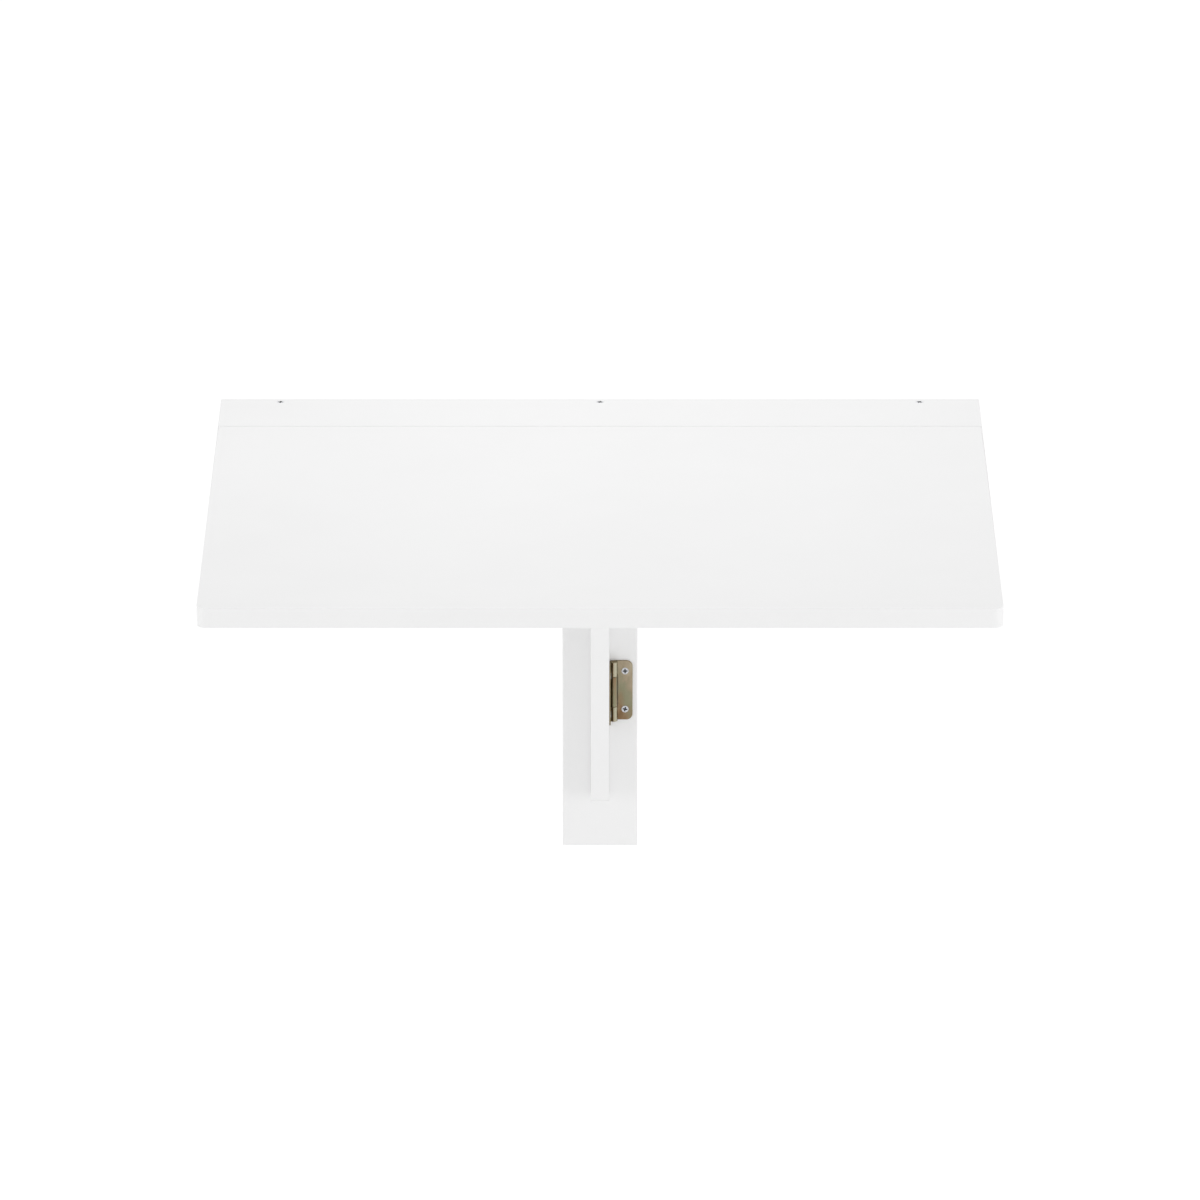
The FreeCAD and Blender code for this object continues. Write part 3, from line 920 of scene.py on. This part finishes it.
class TABLE_OT_wall_boards(Operator):
    """Makes the rail and the post that are screwed to the wall, eased on their front faces"""

    bl_idname = "table.wall_boards"
    bl_label = "Wall Boards"

    def execute(self, context):
        scene = context.scene
        boards = scene.table_boards
        for name, node, tools in (
            ("lacquered_rail", "wall_rail", strip_screw_holes(scene.table_screws)),
            ("lacquered_post", "wall_post", hinge_screw_holes("post", scene)),
        ):
            low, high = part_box(node)
            outline = rectangle(low.x, low.z, high.x, high.z)
            top = outline[-1].y

            def front_rim(a, b, is_high):
                return is_high and not a.y == b.y == top

            bm = slab(outline, high.y - low.y, boards.edge_radius, front_rim)
            bm = placed(bm, Matrix.Translation((0, high.y, 0)) @ Matrix.Rotation(math.pi / 2, 4, "X"))
            tools += dowel_holes(boards) + wall_holes(node, boards)
            new_board(name, bm, tools, "wall_frame", node)
        return {"FINISHED"}


class TABLE_OT_bracket(Operator):
    """Makes the triangular bracket, eased all round but for the edge that lies along the post"""

    bl_idname = "table.bracket"
    bl_label = "Bracket"

    def execute(self, context):
        scene = context.scene
        boards = scene.table_boards
        low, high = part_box("swing_bracket")
        reach = high.y - low.y
        height = high.z - low.z
        corners = [
            (0, -height, 0),
            (boards.toe, -height, boards.toe_radius),
            (reach, -boards.nose, boards.nose_radius),
            (reach, 0, boards.tip_radius),
            (0, 0, 0),
        ]

        def but_the_back(a, b, is_high):
            return not a.x == b.x == 0

        bm = slab(rounded(corners), high.x - low.x, boards.edge_radius, but_the_back)
        # The outline's x runs out from the wall and its y up, so the thickness runs to the left.
        turn = Matrix(((0, 0, -1, high.x), (-1, 0, 0, high.y), (0, 1, 0, high.z), (0, 0, 0, 1)))
        tools = hinge_screw_holes("bracket", scene)
        new_board("lacquered_bracket", placed(bm, turn), tools, "bracket", "swing_bracket")
        return {"FINISHED"}


def hinge_blank(sizes, height, carries_middle):
    """A hinge plate as it is stamped: a flat sheet with long tongues where its knuckles will be rolled."""
    end = height / 2
    step = sizes.middle / 2 if carries_middle else sizes.middle / 2 + sizes.gap
    tongue = -ROLL * (sizes.bore + sizes.sheet / 2)
    at_ends, at_middle = (sizes.standoff, tongue) if carries_middle else (tongue, sizes.standoff)
    corners = [
        (sizes.wing, -end, sizes.corner),
        (sizes.wing, end, sizes.corner),
        (at_ends, end, 0),
        (at_ends, step, 0),
        (at_middle, step, 0),
        (at_middle, -step, 0),
        (at_ends, -step, 0),
        (at_ends, -end, 0),
    ]
    bm = stamped(rounded(corners), sizes.sheet, sizes.shear)
    for face in bm.faces:
        face.material_index = 0 if abs(face.normal.z) > FLAT else 1
    lines = [tongue * i / ROLL_STEPS for i in range(ROLL_STEPS)]
    lines += [sizes.standoff * i / SET_STEPS for i in range(1, SET_STEPS + 1)]
    for x in lines:
        geometry = bm.verts[:] + bm.edges[:] + bm.faces[:]
        bmesh.ops.bisect_plane(bm, geom=geometry, plane_co=(x, 0, 0), plane_no=(1, 0, 0), dist=ON_LINE)
    return bm


def roll(bm, sizes):
    """Rolls a blank's tongues round the pin. Its z runs through the sheet, and its y along the pin."""
    outer = sizes.bore + sizes.sheet
    lift = sizes.standoff - outer
    for vertex in bm.verts:
        along, pin, depth = vertex.co
        if along >= 0:
            share = min(1, max(0, 1 - along / sizes.standoff))
            rise = lift * share * share * (3 - 2 * share)
            vertex.co = (along, depth + rise - sizes.standoff, pin)
        else:
            angle = along / (sizes.bore + sizes.sheet / 2) - math.pi / 2
            radius = outer - depth
            vertex.co = (radius * math.cos(angle), radius * math.sin(angle), pin)
    bmesh.ops.reverse_faces(bm, faces=bm.faces[:])
    return bm


def rolled_plate(sizes, screws, height, carries_middle, steel):
    """A hinge plate as a mesh: stamped, rolled, and countersunk for its two screws."""
    bm = roll(hinge_blank(sizes, height, carries_middle), sizes)
    holes = gathered(
        (screw_hole(screws.hinge_head, screws.hinge_shank, screws.hinge_length, screws), place)
        for place in plate_screw_places(sizes, screws)
    )
    for face in holes.faces:
        face.material_index = 1
    return cut(bm, holes, steel)


def domed_pin(radius, half):
    """A hinge pin along z, half its length to either side."""
    dome = [(share * radius, half - drop) for share, drop in PIN_DOME]
    return turned(dome + [(r, -z) for r, z in reversed(dome)])


def give_seed(mesh, seed):
    """Gives a hinge plate's film its number."""
    numbers = mesh.attributes.new(FILM_SEED, "FLOAT", "POINT").data
    numbers.foreach_set("value", [float(seed)] * len(numbers))


class TABLE_OT_hinges(Operator):
    """Makes the four butt hinges: stamped and rolled plates, and pins with domed ends"""

    bl_idname = "table.hinges"
    bl_label = "Hinges"

    def execute(self, context):
        scene = context.scene
        sizes, screws = scene.table_hinges, scene.table_screws
        steel = [finish_of(passivated_zinc), finish_of(sheared_edge)]
        seeds = iter(FILM_SEEDS)
        for hinge, plates in HINGES.items():
            for carries_middle, plate in enumerate(plates):
                node = f"{hinge}_{plate.board}_plate"
                low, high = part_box(node)
                mesh = rolled_plate(sizes, screws, max(high - low), carries_middle, steel)
                give_seed(mesh, next(seeds))
                name = f"{hinge}_{plate.board}_rolled_plate"
                new_piece(name, mesh, plate.body, node, hinge_seat(hinge, plate))
            low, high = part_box(f"{hinge}_pin")
            extent = high - low
            mesh = as_mesh(domed_pin(min(extent) / 2, max(extent) / 2), steel[1:])
            seat = hinge_seat(hinge, plates[0])
            new_piece(f"{hinge}_domed_pin", mesh, "wall_frame", f"{hinge}_pin", seat)
        return {"FINISHED"}


def cross_tool(head):
    """A tapered cross that punches the recess of a screw's head, from just above it."""
    bm = bmesh.new()
    rings = []
    for shares in CROSS:
        height, reach, half = (share * head for share in shares)
        arm = [(reach, -half), (reach, half), (half, half)]
        points = [Matrix.Rotation(math.pi / 2 * turn, 2) @ Vector(p) for turn in range(4) for p in arm]
        rings.append([bm.verts.new((p.x, p.y, height)) for p in points])
    upper, lower = rings
    bm.faces.new(upper)
    bm.faces.new(lower[::-1])
    for i, vertex in enumerate(upper):
        j = (i + 1) % len(upper)
        bm.faces.new((vertex, lower[i], lower[j], upper[j]))
    for face in bm.faces:
        face.material_index = 1
    return bm


def wood_screw(head, shank, depth, pitch, screws):
    """A countersunk wood screw, head up at z = 0: a cone under a land, a threaded core, and a point."""
    neck = -screws.land - (head - shank) / 2
    point = shank - depth
    first = neck - pitch / 2
    profile = [
        (0, 0),
        (head / 2 - HEAD_RIM, 0),
        (head / 2, -HEAD_RIM),
        (head / 2, -screws.land),
        (shank / 2, neck),
    ]
    rows = round((first - point) / pitch * THREAD_ROWS)
    profile += [(shank / 2, first + (point - first) * i / rows) for i in range(rows + 1)]
    tip = round(shank / pitch * THREAD_ROWS)
    profile += [(shank / 2 * (1 - i / tip), point - shank * i / tip) for i in range(1, tip)]
    profile.append((0, -depth))

    def thread(radius, height, angle):
        if height > first:
            return radius
        ridge = max(0, 1 - abs((height / pitch + angle / math.tau) % 1 - 0.5) / THREAD_RIDGE)
        grown = min(1, (first - height) / pitch)
        return radius * (THREAD_CORE + (1 - THREAD_CORE) * ridge * grown)

    return turned(profile, thread)


class TABLE_OT_screws(Operator):
    """Makes the countersunk cross-recess screws of the hinges and of the top strip"""

    bl_idname = "table.screws"
    bl_label = "Screws"

    def execute(self, context):
        scene = context.scene
        sizes, screws = scene.table_hinges, scene.table_screws
        # The recess's dark finish is painted shade.
        recess = finish_of(shaded_punched_recess)
        low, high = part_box("strip_screws")
        hinge_size = (screws.hinge_head, screws.hinge_shank, screws.hinge_length, screws.hinge_pitch)
        strip_size = (screws.strip_head, screws.strip_shank, high.z - low.z, screws.strip_pitch)
        places = strip_screw_places(screws)
        rows = [("strip_cross_screws", "strip_screws", "wall_frame", strip_size, places)]
        for hinge, plates in HINGES.items():
            for plate in plates:
                name = f"{hinge}_{plate.board}"
                seat = hinge_seat(hinge, plate)
                places = [seat @ place for place in plate_screw_places(sizes, screws)]
                rows.append((f"{name}_cross_screws", f"{name}_screws", plate.body, hinge_size, places))
        driven = 0
        for name, node, body, size, places in rows:
            # Strip screws get the lit copy of the zinc, and hinge screws get the shaded one.
            plating = lit_strip_screw_zinc if size == strip_size else shaded_hinge_screw_zinc
            zinc = [finish_of(plating), recess]
            solids, tools = [], []
            for place in places:
                driven += 1
                place = place @ Matrix.Rotation(SCREW_TURN * driven, 4, "Z")
                solids.append((wood_screw(*size, screws), place))
                tools.append((cross_tool(size[0]), place))
            new_piece(name, cut(gathered(solids), gathered(tools), zinc), body, node)
        return {"FINISHED"}


class TABLE_OT_dowels(Operator):
    """Makes the two fluted beech dowels between the rail and the post"""

    bl_idname = "table.dowels"
    bl_label = "Dowels"

    def execute(self, context):
        places, radius, half = dowel_places()
        profile = [(0, half), (radius - DOWEL_CHAMFER, half), (radius, half - DOWEL_CHAMFER)]
        profile += [(r, -z) for r, z in reversed(profile)]

        def fluted(at, height, angle):
            return at - FLUTE_DEPTH * (0.5 - 0.5 * math.cos(FLUTES * angle)) ** 3

        bm = gathered((turned(profile, fluted), place) for place in places)
        mesh = as_mesh(bm, [finish_of(turned_beech)])
        new_piece("fluted_dowels", mesh, "wall_frame", "post_dowels")
        return {"FINISHED"}


def from_top(x, y, z):
    """A place that is given from the middle of the top's back edge."""
    return Vector((x, y, CAD_BOX[1].z + z))


class TABLE_OT_stage(Operator):
    """Makes the pale floor, the soft light and the camera"""

    bl_idname = "table.stage"
    bl_label = "Stage"

    def execute(self, context):
        scene = context.scene
        stage = scene.table_stage
        bm = bmesh.new()
        bmesh.ops.create_circle(bm, cap_ends=True, segments=FLOOR_STEPS, radius=stage.floor_radius)
        floor = bpy.data.objects.new("floor", as_mesh(bm, [pale_floor(stage)]))
        floor.location = from_top(0, 0, -stage.floor_drop)
        scene.collection.objects.link(floor)
        self.light(scene, stage)
        camera = bpy.data.objects.new("camera", bpy.data.cameras.new("camera"))
        camera.data.lens = stage.lens
        camera.data.clip_end = SIGHT
        camera.location = from_top(0, -stage.camera_distance, stage.camera_height)
        camera.rotation_euler = (math.pi / 2 - stage.camera_pitch, 0, 0)
        scene.collection.objects.link(camera)
        scene.camera = camera
        scene.view_settings.view_transform = "Standard"
        return {"FINISHED"}

    def light(self, scene, stage):
        """Even light from all round, a soft lamp above, and one on each side in front."""
        world = bpy.data.worlds.new("even studio light")
        world.use_nodes = True
        tree = world.node_tree
        tree.nodes.clear()
        seen = seen_by(tree, "Is Camera Ray", "Is Glossy Ray", "Is Transmission Ray")
        white = (1, 1, 1, 1)
        sky = add_node(tree, "ShaderNodeBackground", {"Color": white, "Strength": stage.sky})
        backdrop = add_node(tree, "ShaderNodeBackground", {"Color": white, "Strength": 1})
        both = add_node(
            tree,
            "ShaderNodeMixShader",
            {0: seen, 1: sky.outputs["Background"], 2: backdrop.outputs["Background"]},
        )
        add_node(tree, "ShaderNodeOutputWorld", {"Surface": both.outputs["Shader"]})
        scene.world = world
        for name, setting, place, side in LAMPS:
            lamp = bpy.data.lights.new(name, "AREA")
            lamp.size = side
            lamp.energy = getattr(stage, setting)
            softbox = bpy.data.objects.new(name, lamp)
            softbox.location = from_top(*place)
            aim = from_top(*LAMP_AIM) - softbox.location
            softbox.rotation_euler = aim.to_track_quat("-Z", "Y").to_euler()
            softbox.visible_camera = False
            scene.collection.objects.link(softbox)


class VIEW3D_PT_drop_leaf_table(Panel):
    """Lists the table's pieces and their settings"""

    bl_label = "Drop Leaf Table"
    bl_space_type = "VIEW_3D"
    bl_region_type = "UI"
    bl_category = "Table"

    def draw(self, context):
        for group in GROUPS:
            box = self.layout.box()
            settings = getattr(context.scene, group)
            box.label(text=settings.bl_rna.name)
            for name in settings.__annotations__:
                box.prop(settings, name)
        for operator in OPERATORS:
            self.layout.operator(operator.bl_idname)


GROUPS = {
    "table_boards": BoardSizes,
    "table_hinges": HingeSizes,
    "table_screws": ScrewSizes,
    "table_colours": TableColours,
    "table_stage": StageSettings,
}
OPERATORS = (
    TABLE_OT_stage,
    TABLE_OT_top_strip,
    TABLE_OT_leaf,
    TABLE_OT_wall_boards,
    TABLE_OT_bracket,
    TABLE_OT_hinges,
    TABLE_OT_screws,
    TABLE_OT_dowels,
)
CLASSES = (*GROUPS.values(), *OPERATORS, VIEW3D_PT_drop_leaf_table)


def register():
    for cls in CLASSES:
        bpy.utils.register_class(cls)
    for name, group in GROUPS.items():
        setattr(bpy.types.Scene, name, PointerProperty(type=group))


def unregister():
    for name in GROUPS:
        delattr(bpy.types.Scene, name)
    for cls in reversed(CLASSES):
        bpy.utils.unregister_class(cls)


def main():
    register()
    for operator in OPERATORS:
        family, name = operator.bl_idname.split(".")
        getattr(getattr(bpy.ops, family), name)()


if __name__ == "__main__":
    main()
